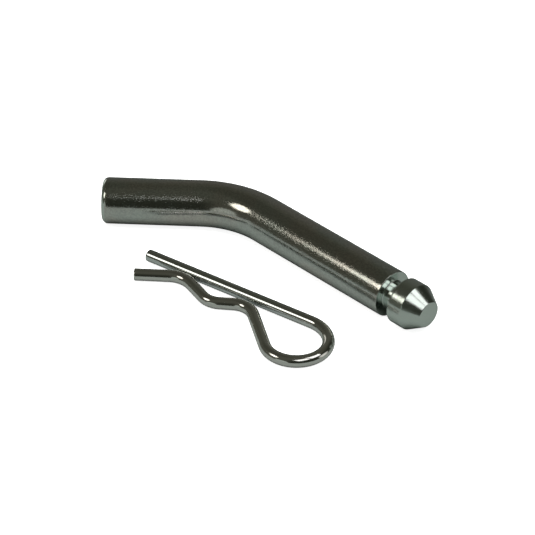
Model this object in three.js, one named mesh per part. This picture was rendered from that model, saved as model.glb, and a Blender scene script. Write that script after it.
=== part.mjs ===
// A bent hitch pin and its hairpin spring clip, lying side by side on a flat surface.
// Millimetres, +Z up. The pin's shaft runs along +X towards its nose, and both pieces rest on Z = 0.
// The origin is under the middle of the whole assembly's box.
import * as THREE from "three";

// The pin is one length of 5/8 inch round bar, turned at the nose and bent cold into a handle.
const BAR_RADIUS = 7.94;
const SHAFT_LENGTH = 74.5; // end of the bend to the tip face
const BEND_RADIUS = 33.3; // to the bar's centreline
const BEND_ANGLE = THREE.MathUtils.degToRad(42);
const HANDLE_LENGTH = 33.5; // straight bar beyond the bend
const HANDLE_EDGE_RADIUS = 1.9;

// The nose: a clip groove, a short full-diameter collar, a cone and a flat tip.
const GROOVE_START = 58.6; // measured along the shaft from the end of the bend
const GROOVE_WIDTH = 4.76; // 3/16 inch
const NECK_RADIUS = 4.76; // 3/8 inch neck at the bottom of the groove
const CONE_LENGTH = 5.7;
const TIP_RADIUS = 4.45;

// The clip is one length of 8 gauge spring wire, bent in one plane. Its outline is given along the
// straight leg (u, from the leg's tip towards the loop) and across it (v, away from the bent leg).
const WIRE_RADIUS = 2.057; // 0.162 inch wire
const STRAIGHT_LEG_LENGTH = 65.5;
const LOOP_ENTRY_RADIUS = 12.2; // the loop starts with this gentler bend
const LOOP_ENTRY_ANGLE = THREE.MathUtils.degToRad(58.6);
const LOOP_RADIUS = 10.33; // and closes with this one
const BENT_LEG_CORNERS = [
  { u: 43.95, v: -3.83, bend: 7.6 }, // crest beside the straight leg
  { u: 31.9, v: -10.15, bend: 7.3 }, // hollow that seats round the pin's neck
  { u: 16.85, v: -3.23, bend: 9.4 }, // crest that snaps past the neck
  { u: 2.6, v: -11.5, bend: 0 }, // flared end that leads the clip on
];
const FLEX_GAP = 0.7; // room at the loop's far end where the two halves of the wire turn

// Where the clip lies, in front of the pin.
const CLIP_POSITION = { x: -18.82, y: -36.2 }; // the straight leg's tip, from the end of the bend
const CLIP_YAW = THREE.MathUtils.degToRad(10.9);

const BAR_SIDES = 40;
const BEND_RINGS = 16;
const EDGE_RINGS = 3;
const WIRE_SIDES = 12;
const WIRE_STEP = 1.5;

const zincPlatedSteel = new THREE.MeshStandardMaterial({
  color: 0x9a9c94,
  roughness: 0.32,
  metalness: 1,
});
const zincPlatedWire = new THREE.MeshStandardMaterial({
  color: 0xa6a89f,
  roughness: 0.22,
  metalness: 1,
});

// The straight bar's outline as (radius, distance along the bar), from the handle's end to the tip.
function barProfile() {
  const bendLength = BEND_RADIUS * BEND_ANGLE;
  const handleEnd = -bendLength - HANDLE_LENGTH;
  const grooveEnd = GROOVE_START + GROOVE_WIDTH;
  const profile = [new THREE.Vector2(0, handleEnd)];
  for (let i = 0; i <= EDGE_RINGS; i++) {
    const turn = (i / EDGE_RINGS) * (Math.PI / 2);
    profile.push(
      new THREE.Vector2(
        BAR_RADIUS - HANDLE_EDGE_RADIUS * (1 - Math.sin(turn)),
        handleEnd + HANDLE_EDGE_RADIUS * (1 - Math.cos(turn)),
      ),
    );
  }
  for (let i = 0; i <= BEND_RINGS; i++) {
    profile.push(new THREE.Vector2(BAR_RADIUS, -bendLength * (1 - i / BEND_RINGS)));
  }
  profile.push(
    new THREE.Vector2(BAR_RADIUS, GROOVE_START),
    new THREE.Vector2(NECK_RADIUS, GROOVE_START),
    new THREE.Vector2(NECK_RADIUS, grooveEnd),
    new THREE.Vector2(BAR_RADIUS, grooveEnd),
    new THREE.Vector2(BAR_RADIUS, SHAFT_LENGTH - CONE_LENGTH),
    new THREE.Vector2(TIP_RADIUS, SHAFT_LENGTH),
    new THREE.Vector2(0, SHAFT_LENGTH),
  );
  return profile;
}

// Bends a bar that lies along X: X > 0 stays straight, and the rest curls round towards -Y.
function bendBar(geometry) {
  const position = geometry.getAttribute("position");
  for (let i = 0; i < position.count; i++) {
    const along = position.getX(i);
    const across = position.getY(i);
    const turn = THREE.MathUtils.clamp(-along / BEND_RADIUS, 0, BEND_ANGLE);
    const straight = along + turn * BEND_RADIUS; // what is left before or beyond the bend
    const cos = Math.cos(turn);
    const sin = Math.sin(turn);
    position.setX(i, -BEND_RADIUS * sin - across * sin + straight * cos);
    position.setY(i, BEND_RADIUS * (cos - 1) + across * cos + straight * sin);
  }
  geometry.computeVertexNormals();
  return geometry;
}

function makeBentPin() {
  const geometry = new THREE.LatheGeometry(barProfile(), BAR_SIDES);
  geometry.rotateZ(-Math.PI / 2);
  const pin = new THREE.Mesh(bendBar(geometry), zincPlatedSteel);
  pin.name = "bent_pin";
  pin.position.z = BAR_RADIUS;
  return pin;
}

// A flat path of lines and arcs, lifted to a curve in space that a wire can follow.
class FlatCurve extends THREE.Curve {
  constructor(path) {
    super();
    this.path = path;
  }

  getPoint(t) {
    const point = this.path.getPointAt(t);
    return new THREE.Vector3(point.x, point.y, 0);
  }
}

// The two circles of the loop: the entry bend from the straight leg, and the closing bend.
function loopCircles() {
  const entry = new THREE.Vector2(STRAIGHT_LEG_LENGTH, -LOOP_ENTRY_RADIUS);
  const shift = new THREE.Vector2(Math.sin(LOOP_ENTRY_ANGLE), Math.cos(LOOP_ENTRY_ANGLE));
  const closing = entry.clone().addScaledVector(shift, LOOP_ENTRY_RADIUS - LOOP_RADIUS);
  return { entry, closing };
}

// The straight leg and the first half of the loop, up to the gap at the loop's far end.
function straightHalfPath() {
  const { entry, closing } = loopCircles();
  const entryEnd = Math.PI / 2 - LOOP_ENTRY_ANGLE;
  const halfGap = FLEX_GAP / 2 / LOOP_RADIUS;
  const path = new THREE.Path();
  path.moveTo(0, 0);
  path.lineTo(STRAIGHT_LEG_LENGTH, 0);
  path.absarc(entry.x, entry.y, LOOP_ENTRY_RADIUS, Math.PI / 2, entryEnd, true);
  path.absarc(closing.x, closing.y, LOOP_RADIUS, entryEnd, halfGap, true);
  return path;
}

// The angle on the closing circle where the wire leaves it, straight for a corner of the bent leg.
function loopExitAngle(corner) {
  const { closing } = loopCircles();
  const away = new THREE.Vector2(corner.u, corner.v).sub(closing);
  return Math.atan2(away.y, away.x) + Math.acos(LOOP_RADIUS / away.length());
}

// Adds a line towards a corner of the path and the arc that rounds it off.
function addRoundedCorner(path, from, corner, to) {
  const vertex = new THREE.Vector2(corner.u, corner.v);
  const into = vertex.clone().sub(from).normalize();
  const out = new THREE.Vector2(to.u, to.v).sub(vertex).normalize();
  const turn = Math.atan2(into.cross(out), into.dot(out));
  const side = Math.sign(turn);
  const trim = corner.bend * Math.tan(Math.abs(turn) / 2);
  const start = vertex.clone().addScaledVector(into, -trim);
  const centre = start.clone().add(new THREE.Vector2(-into.y, into.x).multiplyScalar(side * corner.bend));
  const startAngle = Math.atan2(start.y - centre.y, start.x - centre.x);
  path.lineTo(start.x, start.y);
  path.absarc(centre.x, centre.y, corner.bend, startAngle, startAngle + turn, turn < 0);
  return vertex.addScaledVector(out, trim);
}

// The second half of the loop and the bent leg, out to its flared end.
function springHalfPath() {
  const { closing } = loopCircles();
  const exit = loopExitAngle(BENT_LEG_CORNERS[0]);
  const halfGap = FLEX_GAP / 2 / LOOP_RADIUS;
  const path = new THREE.Path();
  path.absarc(closing.x, closing.y, LOOP_RADIUS, -halfGap, exit - 2 * Math.PI, true);
  let from = path.getPoint(1);
  for (let i = 0; i < BENT_LEG_CORNERS.length - 1; i++) {
    from = addRoundedCorner(path, from, BENT_LEG_CORNERS[i], BENT_LEG_CORNERS[i + 1]);
  }
  const end = BENT_LEG_CORNERS[BENT_LEG_CORNERS.length - 1];
  path.lineTo(end.u, end.v);
  return path;
}

// Round wire along a flat path.
function makeWire(name, path) {
  const section = new THREE.Shape();
  section.absarc(0, 0, WIRE_RADIUS, 0, 2 * Math.PI);
  const geometry = new THREE.ExtrudeGeometry(section, {
    curveSegments: WIRE_SIDES / 2,
    steps: Math.round(path.getLength() / WIRE_STEP),
    extrudePath: new FlatCurve(path),
  });
  const wire = new THREE.Mesh(geometry, zincPlatedWire);
  wire.name = name;
  return wire;
}

function makeClip() {
  const clip = new THREE.Group();
  clip.add(makeWire("clip_straight_leg", straightHalfPath()));
  clip.add(makeWire("clip_spring_leg", springHalfPath()));
  clip.position.set(CLIP_POSITION.x, CLIP_POSITION.y, WIRE_RADIUS);
  clip.rotation.z = CLIP_YAW;
  return clip;
}

const hitchPinSet = new THREE.Group();
hitchPinSet.add(makeBentPin());
hitchPinSet.add(makeClip());

const middle = new THREE.Box3().setFromObject(hitchPinSet, true).getCenter(new THREE.Vector3());
hitchPinSet.position.set(-middle.x, -middle.y, 0);

export default hitchPinSet;
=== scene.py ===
import math

import bpy
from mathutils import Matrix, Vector


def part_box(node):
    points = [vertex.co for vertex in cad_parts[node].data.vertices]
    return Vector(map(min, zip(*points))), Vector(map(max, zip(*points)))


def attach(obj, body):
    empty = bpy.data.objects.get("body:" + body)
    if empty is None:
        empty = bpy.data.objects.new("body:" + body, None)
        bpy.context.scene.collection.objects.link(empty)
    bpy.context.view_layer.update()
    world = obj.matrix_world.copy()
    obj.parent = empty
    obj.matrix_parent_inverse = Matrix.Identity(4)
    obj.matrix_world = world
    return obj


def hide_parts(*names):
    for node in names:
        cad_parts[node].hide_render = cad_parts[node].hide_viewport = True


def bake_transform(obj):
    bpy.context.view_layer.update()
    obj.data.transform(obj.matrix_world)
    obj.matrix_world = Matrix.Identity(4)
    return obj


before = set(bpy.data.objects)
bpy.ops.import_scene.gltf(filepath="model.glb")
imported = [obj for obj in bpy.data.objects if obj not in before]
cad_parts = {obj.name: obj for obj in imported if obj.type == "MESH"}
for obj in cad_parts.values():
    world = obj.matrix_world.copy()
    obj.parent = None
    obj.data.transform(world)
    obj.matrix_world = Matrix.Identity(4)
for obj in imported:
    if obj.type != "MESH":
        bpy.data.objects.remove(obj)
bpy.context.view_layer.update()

MM = 0.001

# ---------------------------------------------------------------- the pin, in millimetres, as in the CAD part
BEND_RADIUS = 33.3  # to the bar's centreline
BEND_ANGLE = math.radians(42)
SHAFT_LENGTH = 74.5  # end of the bend to the tip face
HANDLE_LENGTH = 33.5
HANDLE_EDGE = 1.9
GROOVE_START = 58.6
GROOVE_WIDTH = 4.76
NECK_RADIUS = 4.76
CONE_LENGTH = 5.7
TIP_RADIUS = 4.45

# ---------------------------------------------------------------- the clip, in its own flat coordinates
STRAIGHT_LEG_LENGTH = 65.5
LOOP_ENTRY_RADIUS = 12.2
LOOP_ENTRY_ANGLE = math.radians(58.6)
LOOP_RADIUS = 10.33
BENT_LEG_CORNERS = [  # (along, across, bend radius)
    (43.95, -3.83, 7.6),
    (31.9, -10.15, 7.3),
    (16.85, -3.23, 9.4),
    (2.6, -11.5, 0.0),
]
CLIP_POSITION = (-18.82, -36.2)  # the straight leg's tip, from the end of the pin's bend
CLIP_YAW = math.radians(10.9)

# ---------------------------------------------------------------- places and radii read from the CAD model
pin_low, pin_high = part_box("bent_pin")
BAR_RADIUS = (pin_high.z - pin_low.z) / 2 / MM
TIP = Vector((pin_high.x, pin_high.y - BAR_RADIUS * MM, BAR_RADIUS * MM))
leg_low, leg_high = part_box("clip_straight_leg")
WIRE_RADIUS = (leg_high.z - leg_low.z) / 2 / MM


# ---------------------------------------------------------------- camera
CAMERA_AZIMUTH = 134.6  # degrees, from +Y towards +X
CAMERA_ELEVATION = 36.0
CAMERA_DISTANCE = 0.8556  # metres, as are the next value and the clipping distances
CAMERA_TARGET = Vector((0.00075, 0.00939, 0.0))
SENSOR_WIDTH = 36.0
FOCAL_LENGTH = 172.8
NEAREST, FARTHEST = 0.01, 50.0


def direction(azimuth, elevation):
    """A unit vector; azimuth in degrees from +Y towards +X, elevation above the floor."""
    a, e = math.radians(azimuth), math.radians(elevation)
    return Vector((math.sin(a) * math.cos(e), math.cos(a) * math.cos(e), math.sin(e)))


def make_camera():
    """The main view, from the front right and above, through a long lens."""
    back = direction(CAMERA_AZIMUTH, CAMERA_ELEVATION)
    data = bpy.data.cameras.new("camera")
    data.sensor_width = SENSOR_WIDTH
    data.lens = FOCAL_LENGTH
    data.clip_start = NEAREST
    data.clip_end = FARTHEST
    camera = bpy.data.objects.new("camera", data)
    bpy.context.scene.collection.objects.link(camera)
    camera.location = CAMERA_TARGET + back * CAMERA_DISTANCE
    camera.rotation_mode = "QUATERNION"
    camera.rotation_quaternion = (-back).to_track_quat("-Z", "Y")
    bpy.context.scene.camera = camera


make_camera()


# ---------------------------------------------------------------- mesh helpers
SHARP_ANGLE = math.radians(40)
STRAIGHT_ENOUGH = 1e-6  # radians: a turn too small to round off


def rounded_outline(corners, arc_steps=6):
    """Points along a polyline whose corners (x, r, fillet radius) are rounded off."""
    points = [Vector(corners[0][:2])]
    for before, corner, after in zip(corners, corners[1:], corners[2:]):
        vertex, radius = Vector(corner[:2]), corner[2]
        into = (vertex - Vector(before[:2])).normalized()
        out = (Vector(after[:2]) - vertex).normalized()
        turn = math.atan2(into.x * out.y - into.y * out.x, into.dot(out))
        if radius == 0 or abs(turn) < STRAIGHT_ENOUGH:
            points.append(vertex)
            continue
        start = vertex - into * (radius * math.tan(abs(turn) / 2))
        side = math.copysign(radius, turn)
        centre = start + Vector((-into.y, into.x)) * side
        first = math.atan2(start.y - centre.y, start.x - centre.x)
        for i in range(arc_steps + 1):
            angle = first + turn * i / arc_steps
            points.append(centre + Vector((math.cos(angle), math.sin(angle))) * radius)
    points.append(Vector(corners[-1][:2]))
    return points


def mesh_object(name, vertices, faces, straight):
    """A smooth-shaded object from points in millimetres. straight holds each vertex's place before the
    stock was bent; the textures follow it."""
    mesh = bpy.data.meshes.new(name)
    mesh.from_pydata([v * MM for v in vertices], [], faces)
    mesh.update()
    attribute = mesh.attributes.new("stock", "FLOAT_VECTOR", "POINT")
    attribute.data.foreach_set("vector", [c for p in straight for c in p])
    mesh.shade_smooth()
    mesh.set_sharp_from_angle(angle=SHARP_ANGLE)
    piece = bpy.data.objects.new(name, mesh)
    bpy.context.scene.collection.objects.link(piece)
    return piece


def loft(rings, first_centre=None, last_centre=None):
    """Vertices and faces over equal rings of points, closed by fans where a centre is given."""
    sides = len(rings[0])
    vertices = [p for ring in rings for p in ring]
    faces = []
    for i in range(len(rings) - 1):
        for j in range(sides):
            k = (j + 1) % sides
            here, beyond = i * sides, (i + 1) * sides
            faces.append((here + j, here + k, beyond + k, beyond + j))
    if first_centre is not None:
        vertices.append(first_centre)
        centre = len(vertices) - 1
        faces += [(centre, (j + 1) % sides, j) for j in range(sides)]
    if last_centre is not None:
        vertices.append(last_centre)
        centre = len(vertices) - 1
        last = (len(rings) - 1) * sides
        faces += [(centre, last + j, last + (j + 1) % sides) for j in range(sides)]
    return vertices, faces


# ---------------------------------------------------------------- bent pin
BAR_SIDES = 192
BAR_STEP = 1.0  # longest face along the bar
GROOVE_EDGE = 0.22  # rounding of the groove's outer edges
GROOVE_ROOT = 0.35  # and of its inner corners
CONE_EDGE = 0.5
TIP_EDGE = 0.3


def bar_outline():
    """The straight bar's outline as (distance along, radius), from the handle's end to the tip."""
    bend_length = BEND_RADIUS * BEND_ANGLE
    end = -bend_length - HANDLE_LENGTH
    groove_end = GROOVE_START + GROOVE_WIDTH
    outline = rounded_outline([
        (end, 0.0, 0),
        (end, BAR_RADIUS, HANDLE_EDGE),
        (GROOVE_START, BAR_RADIUS, GROOVE_EDGE),
        (GROOVE_START, NECK_RADIUS, GROOVE_ROOT),
        (groove_end, NECK_RADIUS, GROOVE_ROOT),
        (groove_end, BAR_RADIUS, GROOVE_EDGE),
        (SHAFT_LENGTH - CONE_LENGTH, BAR_RADIUS, CONE_EDGE),
        (SHAFT_LENGTH, TIP_RADIUS, TIP_EDGE),
        (SHAFT_LENGTH, 0.0, 0),
    ])
    dense = [outline[0]]
    for point in outline[1:]:
        gap = (point - dense[-1]).length
        pieces = max(1, math.ceil(gap / BAR_STEP))
        start = dense[-1].copy()
        dense += [start.lerp(point, i / pieces) for i in range(1, pieces + 1)]
    return dense


def bend_bar(point):
    """Where a point of the straight bar, (along, across, up), lies once the handle is bent."""
    turn = min(max(-point.x / BEND_RADIUS, 0.0), BEND_ANGLE)
    straight = point.x + turn * BEND_RADIUS
    sin, cos = math.sin(turn), math.cos(turn)
    return Vector((
        -BEND_RADIUS * sin - point.y * sin + straight * cos,
        BEND_RADIUS * (cos - 1) + point.y * cos + straight * sin,
        point.z,
    ))


def make_bent_pin():
    """The bar turned round its own axis, then bent and set down where the CAD pin lies."""
    outline = bar_outline()
    straight_rings = []
    for p in outline[1:-1]:
        ring = []
        for j in range(BAR_SIDES):
            angle = 2 * math.pi * j / BAR_SIDES
            ring.append(Vector((p.x, p.y * math.cos(angle), p.y * math.sin(angle))))
        straight_rings.append(ring)
    ends = [Vector((p.x, 0, 0)) for p in (outline[0], outline[-1])]
    straight, faces = loft(straight_rings, *ends)
    bend_end = TIP / MM - Vector((SHAFT_LENGTH, 0, 0))
    vertices = [bend_bar(p) + bend_end for p in straight]
    return mesh_object("bent_pin_bar", vertices, faces, straight)


# ---------------------------------------------------------------- hairpin clip
WIRE_SIDES = 48
LEG_STEP = 1.0  # between rings on the straight leg
BENT_LEG_STEP = 0.8  # on the bent leg
LOOP_STEP = 0.6  # and on the loop
CORNER_STEPS = 16
CUT_EDGE = 0.45  # rounding of the wire's cut ends
CUT_STEPS = 5
JOINT_STEP = 0.05


def arc_points(centre, radius, first, last):
    """Points on an arc, without its first one, at most a loop step apart."""
    steps = max(2, math.ceil(abs(last - first) * radius / LOOP_STEP))
    angles = [first + (last - first) * i / steps for i in range(1, steps + 1)]
    return [centre + Vector((math.cos(a), math.sin(a))) * radius for a in angles]


def line_points(start, end, step):
    """Points on a line, without its first one."""
    steps = max(1, math.ceil((end - start).length / step))
    return [start.lerp(end, i / steps) for i in range(1, steps + 1)]


def clip_paths():
    """The wire's centreline in three stretches: straight leg, loop, bent leg."""
    leg_end = Vector((STRAIGHT_LEG_LENGTH, 0))
    straight = [Vector((0, 0))] + line_points(Vector((0, 0)), leg_end, LEG_STEP)
    entry = Vector((STRAIGHT_LEG_LENGTH, -LOOP_ENTRY_RADIUS))
    towards = Vector((math.sin(LOOP_ENTRY_ANGLE), math.cos(LOOP_ENTRY_ANGLE)))
    closing = entry + towards * (LOOP_ENTRY_RADIUS - LOOP_RADIUS)
    entry_end = math.pi / 2 - LOOP_ENTRY_ANGLE
    loop = [leg_end]
    loop += arc_points(entry, LOOP_ENTRY_RADIUS, math.pi / 2, entry_end)
    loop += arc_points(closing, LOOP_RADIUS, entry_end, -math.pi / 2)
    away = Vector(BENT_LEG_CORNERS[0][:2]) - closing
    leave = math.atan2(away.y, away.x) + math.acos(LOOP_RADIUS / away.length) - 2 * math.pi
    bent = [loop[-1]] + arc_points(closing, LOOP_RADIUS, -math.pi / 2, leave)
    corners = rounded_outline([(*bent[-1], 0)] + BENT_LEG_CORNERS, CORNER_STEPS)
    for corner in corners[1:]:
        bent += line_points(bent[-1], corner, BENT_LEG_STEP)
    return straight, loop, bent


def cut_end(station, inward):
    """Stations that round off the edge of a cut end; inward is 1 at the wire's start, -1 at its end."""
    point, along, _, at = station
    stations = []
    for i in range(CUT_STEPS + 1):
        turn = i / CUT_STEPS * math.pi / 2
        depth = CUT_EDGE * (1 - math.cos(turn))
        radius = WIRE_RADIUS - CUT_EDGE * (1 - math.sin(turn))
        stations.append((point + along * inward * depth, along, radius, at + inward * depth))
    return stations[::inward]


def joined_end(station, inward):
    """The station and one just inside it, so that two stretches of wire shade alike where they meet."""
    point, along, radius, at = station
    close = (point + along * inward * JOINT_STEP, along, radius, at + inward * JOINT_STEP)
    return [station, close][::inward]


def sweep(path, offset, before=None, after=None):
    """Rings of a round wire along a flat path. before and after are the neighbouring stretches' points
    next to the path's ends; an end without one is cut off, with a rounded edge."""
    points = [before or path[0], *path, after or path[-1]]
    travelled = offset
    stations = []
    for i, point in enumerate(path):
        if i:
            travelled += (point - path[i - 1]).length
        stations.append((point, (points[i + 2] - points[i]).normalized(), WIRE_RADIUS, travelled))
    finish_start = joined_end if before else cut_end
    finish_end = joined_end if after else cut_end
    stations[:1] = finish_start(stations[0], 1)
    stations[-1:] = finish_end(stations[-1], -1)
    rings, straight = [], []
    for point, along, radius, at in stations:
        ring, flat = [], []
        for j in range(WIRE_SIDES):
            angle = 2 * math.pi * j / WIRE_SIDES
            across, up = radius * math.cos(angle), radius * math.sin(angle)
            ring.append(Vector((point.x - along.y * across, point.y + along.x * across, up)))
            flat.append(Vector((at, across, up)))
        rings.append(ring)
        straight.append(flat)
    return rings, straight


def clip_to_row(point):
    """Where a point of the clip's own flat space lies in the model's frame, in millimetres."""
    sin, cos = math.sin(CLIP_YAW), math.cos(CLIP_YAW)
    x, y = CLIP_POSITION
    origin = TIP / MM + Vector((x - SHAFT_LENGTH, y, WIRE_RADIUS - BAR_RADIUS))
    return Vector((point.x * cos - point.y * sin, point.x * sin + point.y * cos, point.z)) + origin


def end_centres(rings):
    """The middles of the first and the last ring."""
    return [sum(ring, Vector((0, 0, 0))) / len(ring) for ring in (rings[0], rings[-1])]


def make_wire(name, path, offset, **neighbours):
    """One stretch of the clip's wire, which starts offset millimetres along it."""
    rings, straight_rings = sweep(path, offset, **neighbours)
    vertices, faces = loft(rings, *end_centres(rings))
    straight, _ = loft(straight_rings, *end_centres(straight_rings))
    return mesh_object(name, [clip_to_row(p) for p in vertices], faces, straight)


def path_length(path):
    """The length of a run of points."""
    return sum((b - a).length for a, b in zip(path, path[1:]))


def make_clip():
    """The wire's three stretches, and the two places between which the loop bends in use."""
    straight, loop, bent = clip_paths()
    leg = make_wire("clip_straight_wire", straight, 0.0, after=loop[1])
    at = path_length(straight)
    middle = make_wire("clip_loop_wire", loop, at, before=straight[-2], after=bent[1])
    at += path_length(loop)
    spring = make_wire("clip_bent_wire", bent, at, before=loop[-2])
    start = clip_to_row(Vector((STRAIGHT_LEG_LENGTH, -WIRE_RADIUS, 0))) * MM
    end = clip_to_row(Vector((STRAIGHT_LEG_LENGTH, loop[-1].y + WIRE_RADIUS, 0))) * MM
    return leg, middle, spring, start, end


# ---------------------------------------------------------------- materials
# Depths and places are in millimetres, and colours are linear.
BAR_PLAIN = (0.6, 0.61, 0.58)
BAR_WARM = (0.63, 0.6, 0.56)
BAR_COOL = (0.585, 0.612, 0.578)
TURNED_COLOUR = (0.67, 0.73, 0.69)
WIRE_PLAIN = (0.75, 0.76, 0.72)
WIRE_WARM = (0.745, 0.735, 0.705)
WIRE_COOL = (0.7, 0.735, 0.73)
BAR_ROUGHNESS = 0.1
NOSE_EXTRA_ROUGHNESS = 0.08
WIRE_ROUGHNESS = 0.07
PIT_DEPTH = 0.015
FINE_GRAIN_DEPTH = 0.009
GRAIN_LEFT_BY_TURNING = 0.35
GRAIN_LEFT_IN_BEND = 0.45
DRAW_LINE_DEPTH = 0.004
WAVE_DEPTH = 0.004
TURNED_RING_DEPTH = 0.012
WIRE_PIT_DEPTH = 0.003


class Nodes:
    """Shorthand for building a node tree."""

    def __init__(self, tree):
        self.tree = tree

    def add(self, kind, inputs, **settings):
        """A new node. An input is another node's socket or a fixed value."""
        node = self.tree.nodes.new(kind)
        for key, value in settings.items():
            setattr(node, key, value)
        for key, value in inputs.items():
            if isinstance(value, bpy.types.NodeSocket):
                self.tree.links.new(value, node.inputs[key])
            else:
                node.inputs[key].default_value = value
        return node

    def math(self, operation, a, b):
        return self.add("ShaderNodeMath", {0: a, 1: b}, operation=operation).outputs[0]

    def vector_math(self, operation, a, b, output):
        return self.add("ShaderNodeVectorMath", {0: a, 1: b}, operation=operation).outputs[output]

    def ramp(self, value, low, high, to_low=0.0, to_high=1.0):
        """A smooth step from to_low to to_high as the value goes from low to high."""
        inputs = {"Value": value, "From Min": low, "From Max": high, "To Min": to_low, "To Max": to_high}
        node = self.add("ShaderNodeMapRange", inputs, interpolation_type="SMOOTHSTEP")
        return node.outputs["Result"]

    def mix(self, factor, first, second):
        """The first colour where the factor is 0, the second where it is 1."""
        node = self.add("ShaderNodeMix", {"Factor": factor}, data_type="RGBA")
        colour_inputs = [i for i in node.inputs if i.type == "RGBA"]
        for socket, colour in zip(colour_inputs, (first, second)):
            if isinstance(colour, bpy.types.NodeSocket):
                self.tree.links.new(colour, socket)
            else:
                socket.default_value = (*colour, 1)
        return [o for o in node.outputs if o.type == "RGBA"][0]


class Metal(Nodes):
    """The nodes of one metal. Its places come in millimetres along the stock."""

    def __init__(self, name, colour, roughness):
        self.material = bpy.data.materials.new(name)
        self.material.use_nodes = True
        super().__init__(self.material.node_tree)
        self.shader = self.tree.nodes["Principled BSDF"]
        self.shader.inputs["Metallic"].default_value = 1.0
        self.shader.inputs["Base Color"].default_value = (*colour, 1)
        self.shader.inputs["Roughness"].default_value = roughness
        stock = self.add("ShaderNodeAttribute", {}, attribute_name="stock")
        self.place = stock.outputs["Vector"]
        parts = self.add("ShaderNodeSeparateXYZ", {"Vector": self.place})
        self.along = parts.outputs["X"]
        section = self.add("ShaderNodeCombineXYZ", {"Y": parts.outputs["Y"], "Z": parts.outputs["Z"]})
        length = self.add("ShaderNodeVectorMath", {0: section.outputs[0]}, operation="LENGTH")
        self.radius = length.outputs["Value"]

    def stretched(self, x, shift=0.0):
        """The place scaled along the stock, so that a texture gets longer there where x is small."""
        inputs = {"Vector": self.place, "Scale": (x, 1.0, 1.0), "Location": (shift, shift, shift)}
        return self.add("ShaderNodeMapping", inputs).outputs[0]

    def noise(self, place, scale, detail=2.0, roughness=0.5):
        inputs = {"Vector": place, "Scale": scale, "Detail": detail, "Roughness": roughness}
        return self.add("ShaderNodeTexNoise", inputs).outputs["Fac"]

    def use(self, name, socket):
        self.tree.links.new(socket, self.shader.inputs[name])

    def bump(self, heights):
        """Bumps the surface by a sum of heights, each in millimetres."""
        total = heights[0]
        for height in heights[1:]:
            total = self.math("ADD", total, height)
        node = self.add("ShaderNodeBump", {"Height": total, "Strength": 1.0, "Distance": MM})
        self.use("Normal", node.outputs["Normal"])


def drawn_skin(metal):
    """1 on the bar's own cold-drawn skin, 0 on what was turned: the nose, the groove and the ends."""
    skin = metal.ramp(metal.radius, BAR_RADIUS * 0.975, BAR_RADIUS * 0.99)
    shaft = metal.ramp(metal.along, GROOVE_START + 1.0, GROOVE_START - 0.1)
    return metal.math("MULTIPLY", skin, shaft)


def bar_grain(metal, drawn):
    """Pits and a finer grain, both shallower where the bar was turned or pressed in the bend."""
    pit_noise = metal.noise(metal.place, scale=2.4, roughness=0.6)
    pits = metal.ramp(pit_noise, 0.5, 0.78, to_high=PIT_DEPTH)
    fine_noise = metal.noise(metal.stretched(1.0, shift=5.0), scale=4.0)
    fine = metal.math("MULTIPLY", fine_noise, FINE_GRAIN_DEPTH)
    both = metal.math("ADD", pits, fine)
    both = metal.math("MULTIPLY", both, metal.ramp(drawn, 0.0, 1.0, to_low=GRAIN_LEFT_BY_TURNING))
    bend_start = -BEND_RADIUS * BEND_ANGLE
    into_bend = metal.ramp(metal.along, bend_start - 3, bend_start + 5)
    bent = metal.math("MULTIPLY", into_bend, metal.ramp(metal.along, 3, -5))
    return metal.math("MULTIPLY", both, metal.ramp(bent, 0.0, 1.0, to_low=1.0, to_high=GRAIN_LEFT_IN_BEND))


def turned_rings(metal, drawn):
    """Rings that the lathe left on the groove, the collar, the cone and the flat tip."""
    inputs = {"W": metal.math("SUBTRACT", metal.along, metal.radius), "Scale": 3.2, "Detail": 2.0}
    rings = metal.add("ShaderNodeTexNoise", inputs, noise_dimensions="1D").outputs["Fac"]
    depth = metal.math("MULTIPLY", rings, TURNED_RING_DEPTH)
    return metal.math("MULTIPLY", depth, metal.math("SUBTRACT", 1.0, drawn))


def bar_roughness(metal):
    """Smoother and duller patches, and a duller collar, cone and tip."""
    smudge = metal.noise(metal.place, scale=0.18, detail=4.0, roughness=0.6)
    polish = metal.ramp(smudge, 0.3, 0.7, to_low=BAR_ROUGHNESS - 0.02, to_high=BAR_ROUGHNESS + 0.03)
    groove_end = GROOVE_START + GROOVE_WIDTH
    nose = metal.ramp(metal.along, groove_end - 0.4, groove_end + 0.2)
    return metal.math("ADD", polish, metal.math("MULTIPLY", nose, NOSE_EXTRA_ROUGHNESS))


def bar_colour(metal, drawn):
    """Zinc that drifts between warm and cool along the bar, with fine specks; paler where turned."""
    drift = metal.noise(metal.stretched(0.5, shift=3.0), scale=0.11, detail=3.0)
    tint = metal.mix(metal.ramp(drift, 0.35, 0.65), BAR_WARM, BAR_COOL)
    speck_noise = metal.noise(metal.place, scale=1.7, roughness=0.6)
    speck = metal.ramp(speck_noise, 0.35, 0.65, to_low=0.86, to_high=1.06)
    speckled = metal.vector_math("MULTIPLY", tint, speck, "Vector")
    return metal.mix(metal.math("SUBTRACT", 1.0, drawn), speckled, TURNED_COLOUR)


def make_bar_steel():
    """Zinc plate on cold-drawn bar: a fine broken grain on the bar, turning marks on the nose."""
    metal = Metal("zinc_plated_bar", BAR_PLAIN, BAR_ROUGHNESS)
    drawn = drawn_skin(metal)
    line_noise = metal.noise(metal.stretched(0.03), scale=2.6, detail=3.0)
    draw_lines = metal.math("MULTIPLY", metal.math("MULTIPLY", line_noise, DRAW_LINE_DEPTH), drawn)
    waves = metal.math("MULTIPLY", metal.noise(metal.stretched(0.12, shift=7.0), scale=0.5), WAVE_DEPTH)
    metal.bump([bar_grain(metal, drawn), draw_lines, waves, turned_rings(metal, drawn)])
    metal.use("Roughness", bar_roughness(metal))
    metal.use("Base Color", bar_colour(metal, drawn))
    return metal.material


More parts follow.
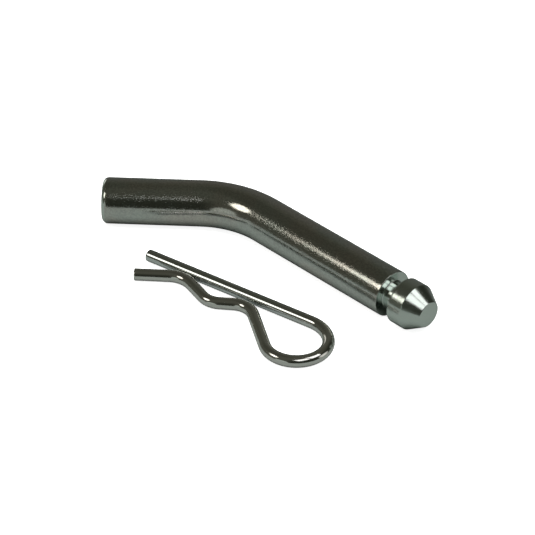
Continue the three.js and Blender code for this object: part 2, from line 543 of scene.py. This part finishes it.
def make_wire_steel():
    """Zinc plate on spring wire: smoother than the bar, with a tint that drifts along the wire."""
    metal = Metal("zinc_plated_wire", WIRE_PLAIN, WIRE_ROUGHNESS)
    line_noise = metal.noise(metal.stretched(0.04), scale=3.0, detail=3.0)
    draw_lines = metal.math("MULTIPLY", line_noise, DRAW_LINE_DEPTH)
    pit_noise = metal.noise(metal.place, scale=2.2, roughness=0.6)
    metal.bump([draw_lines, metal.ramp(pit_noise, 0.55, 0.8, to_high=WIRE_PIT_DEPTH)])

    smudge = metal.noise(metal.place, scale=0.25, detail=3.0)
    rough = metal.ramp(smudge, 0.3, 0.7, to_low=WIRE_ROUGHNESS - 0.02, to_high=WIRE_ROUGHNESS + 0.05)
    metal.use("Roughness", rough)

    towards_leg = metal.ramp(metal.along, 85.0, 35.0)
    uneven = metal.noise(metal.stretched(0.6, shift=11.0), scale=0.1)
    drift = metal.math("ADD", towards_leg, uneven)
    metal.use("Base Color", metal.mix(metal.ramp(drift, 0.6, 1.3), WIRE_WARM, WIRE_COOL))
    return metal.material


# ---------------------------------------------------------------- the pieces, on their bodies
bar_steel = make_bar_steel()
wire_steel = make_wire_steel()

pin = make_bent_pin()
pin.data.materials.append(bar_steel)
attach(pin, "pin")
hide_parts("bent_pin")

leg, loop, spring, blend_start, blend_end = make_clip()
for piece in (leg, loop, spring):
    piece.data.materials.append(wire_steel)
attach(leg, "clip")
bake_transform(loop)
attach(spring, "clip_leg")
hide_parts("clip_straight_leg")
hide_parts("clip_spring_leg")


# ---------------------------------------------------------------- studio
FLOOR_HALF_WIDTH = 6.0  # metres
FLOOR_COLOUR = (0.9, 0.9, 0.9)
FLOOR_GLOW = 0.88
TABLE_DEPTH = -0.00005  # just under the floor that is seen
TABLE_NEAR = (0.222, 0.243, 0.228)
TABLE_FAR = (0.085, 0.088, 0.084)
TABLE_FADE = (0.025, 0.09)  # where along +Y the table gets darker
WHITE = (1, 1, 1)
WALLS = (0.072, 0.074, 0.058)
WALLS_LOW_RIGHT = (0.023, 0.026, 0.019)
WALL_PATCHES = [  # azimuth, elevation, radius of the full colour and of its soft edge, colour
    (-35, 0, 12, 45, (0.098, 0.1, 0.088)),  # paler behind the handle
    (-92, 54, 14, 30, (0.054, 0.055, 0.042)),  # dimmer high on the left
    (176, 2.5, 17, 20, (0.36, 0.4, 0.365)),  # a card in front, mirrored inside the bend
    (-75, 8, 6, 17, (0.75, 0.74, 0.68)),  # a window on the left, for views from that side
    (52, 14, 6, 20, (0.75, 0.76, 0.72)),  # and one on the right, behind the nose
]


def make_floor(name, height):
    """A wide plane, with its node tree and the shader of its material."""
    mesh = bpy.data.meshes.new(name)
    half = FLOOR_HALF_WIDTH
    corners = [(-half, -half, height), (half, -half, height), (half, half, height), (-half, half, height)]
    mesh.from_pydata(corners, [], [(0, 1, 2, 3)])
    floor = bpy.data.objects.new(name, mesh)
    bpy.context.scene.collection.objects.link(floor)
    material = bpy.data.materials.new(name)
    material.use_nodes = True
    mesh.materials.append(material)
    principled = material.node_tree.nodes["Principled BSDF"]
    principled.inputs["Roughness"].default_value = 1.0
    principled.inputs["Specular IOR Level"].default_value = 0.0
    return floor, material.node_tree, principled


def make_seen_floor():
    """The pale floor under the object, lit from within so that only a faint shadow shows on it."""
    floor, _, principled = make_floor("floor", 0.0)
    principled.inputs["Base Color"].default_value = (*FLOOR_COLOUR, 1)
    principled.inputs["Emission Color"].default_value = (*WHITE, 1)
    principled.inputs["Emission Strength"].default_value = FLOOR_GLOW
    floor.visible_glossy = False
    floor.visible_shadow = False
    floor.visible_diffuse = False


def make_mirrored_floor():
    """The grey table that the metal reflects; it gets darker behind the pin."""
    floor, tree, principled = make_floor("floor_in_reflections", TABLE_DEPTH)
    nodes = Nodes(tree)
    position = nodes.add("ShaderNodeNewGeometry", {}).outputs["Position"]
    along_y = nodes.add("ShaderNodeSeparateXYZ", {0: position}).outputs["Y"]
    colour = nodes.mix(nodes.ramp(along_y, *TABLE_FADE), TABLE_NEAR, TABLE_FAR)
    tree.links.new(colour, principled.inputs["Base Color"])
    floor.visible_camera = False
    floor.visible_shadow = False


def make_world():
    """Dim walls all round, darker low on the right, with a few patches; to the camera they are white."""
    world = bpy.data.worlds.new("studio")
    bpy.context.scene.world = world
    world.use_nodes = True
    nodes = Nodes(world.node_tree)
    towards = nodes.add("ShaderNodeTexCoord", {}).outputs["Generated"]

    def closeness(azimuth, elevation):
        """The cosine of the angle between where a ray goes and a direction."""
        return nodes.vector_math("DOT_PRODUCT", towards, direction(azimuth, elevation), "Value")

    low = nodes.ramp(closeness(0, 90), 0.88, 0.55)
    on_right = nodes.ramp(closeness(70, 0), -0.25, 0.3)
    walls = nodes.mix(nodes.math("MULTIPLY", low, on_right), WALLS, WALLS_LOW_RIGHT)
    for azimuth, elevation, inner, outer, colour in WALL_PATCHES:
        edges = [math.cos(math.radians(radius)) for radius in (outer, inner)]
        walls = nodes.mix(nodes.ramp(closeness(azimuth, elevation), *edges), walls, colour)
    seen = nodes.add("ShaderNodeLightPath", {}).outputs["Is Camera Ray"]
    background = world.node_tree.nodes["Background"]
    world.node_tree.links.new(nodes.mix(seen, walls, WHITE), background.inputs["Color"])


def area_light(name, azimuth, elevation, distance, size, radiance, shape="ELLIPSE", shift=(0.0, 0.0)):
    """A soft light that faces the middle of the floor, shifted within its own plane where asked."""
    area = size[0] * size[1] * (math.pi / 4 if shape == "ELLIPSE" else 1.0)
    data = bpy.data.lights.new(name, "AREA")
    data.shape = shape
    data.size, data.size_y = size
    data.energy = radiance * math.pi * area
    light = bpy.data.objects.new(name, data)
    bpy.context.scene.collection.objects.link(light)
    towards = direction(azimuth, elevation)
    turn = (-towards).to_track_quat("-Z", "Y")
    light.location = towards * distance + turn @ Vector((*shift, 0.0))
    light.rotation_mode = "QUATERNION"
    light.rotation_quaternion = turn
    return light


def right_panel(name, size, shift):
    """One of the two panels that hang side by side on the right."""
    area_light(name, azimuth=89, elevation=60, distance=1.2, size=size, radiance=1.42,
               shape="RECTANGLE", shift=shift)


def make_lights():
    """A wide light overhead that the metal doesn't mirror, a softbox on the left, panels on the right."""
    overhead = area_light("overhead", azimuth=0, elevation=89, distance=2.0, size=(2.5, 2.5), radiance=3.9)
    overhead.visible_glossy = False
    left = area_light("left_softbox", azimuth=-152, elevation=39, distance=0.95, size=(0.38, 0.38),
                      radiance=2.1)
    left.data.color = (1.0, 0.98, 0.88)
    right_panel("right_panel_a", size=(0.552, 0.67), shift=(0.36, 0.0))
    right_panel("right_panel_b", size=(0.684, 0.48), shift=(-0.33, -0.096))


make_seen_floor()
make_mirrored_floor()
make_world()
make_lights()
bpy.context.scene.view_settings.view_transform = "Standard"
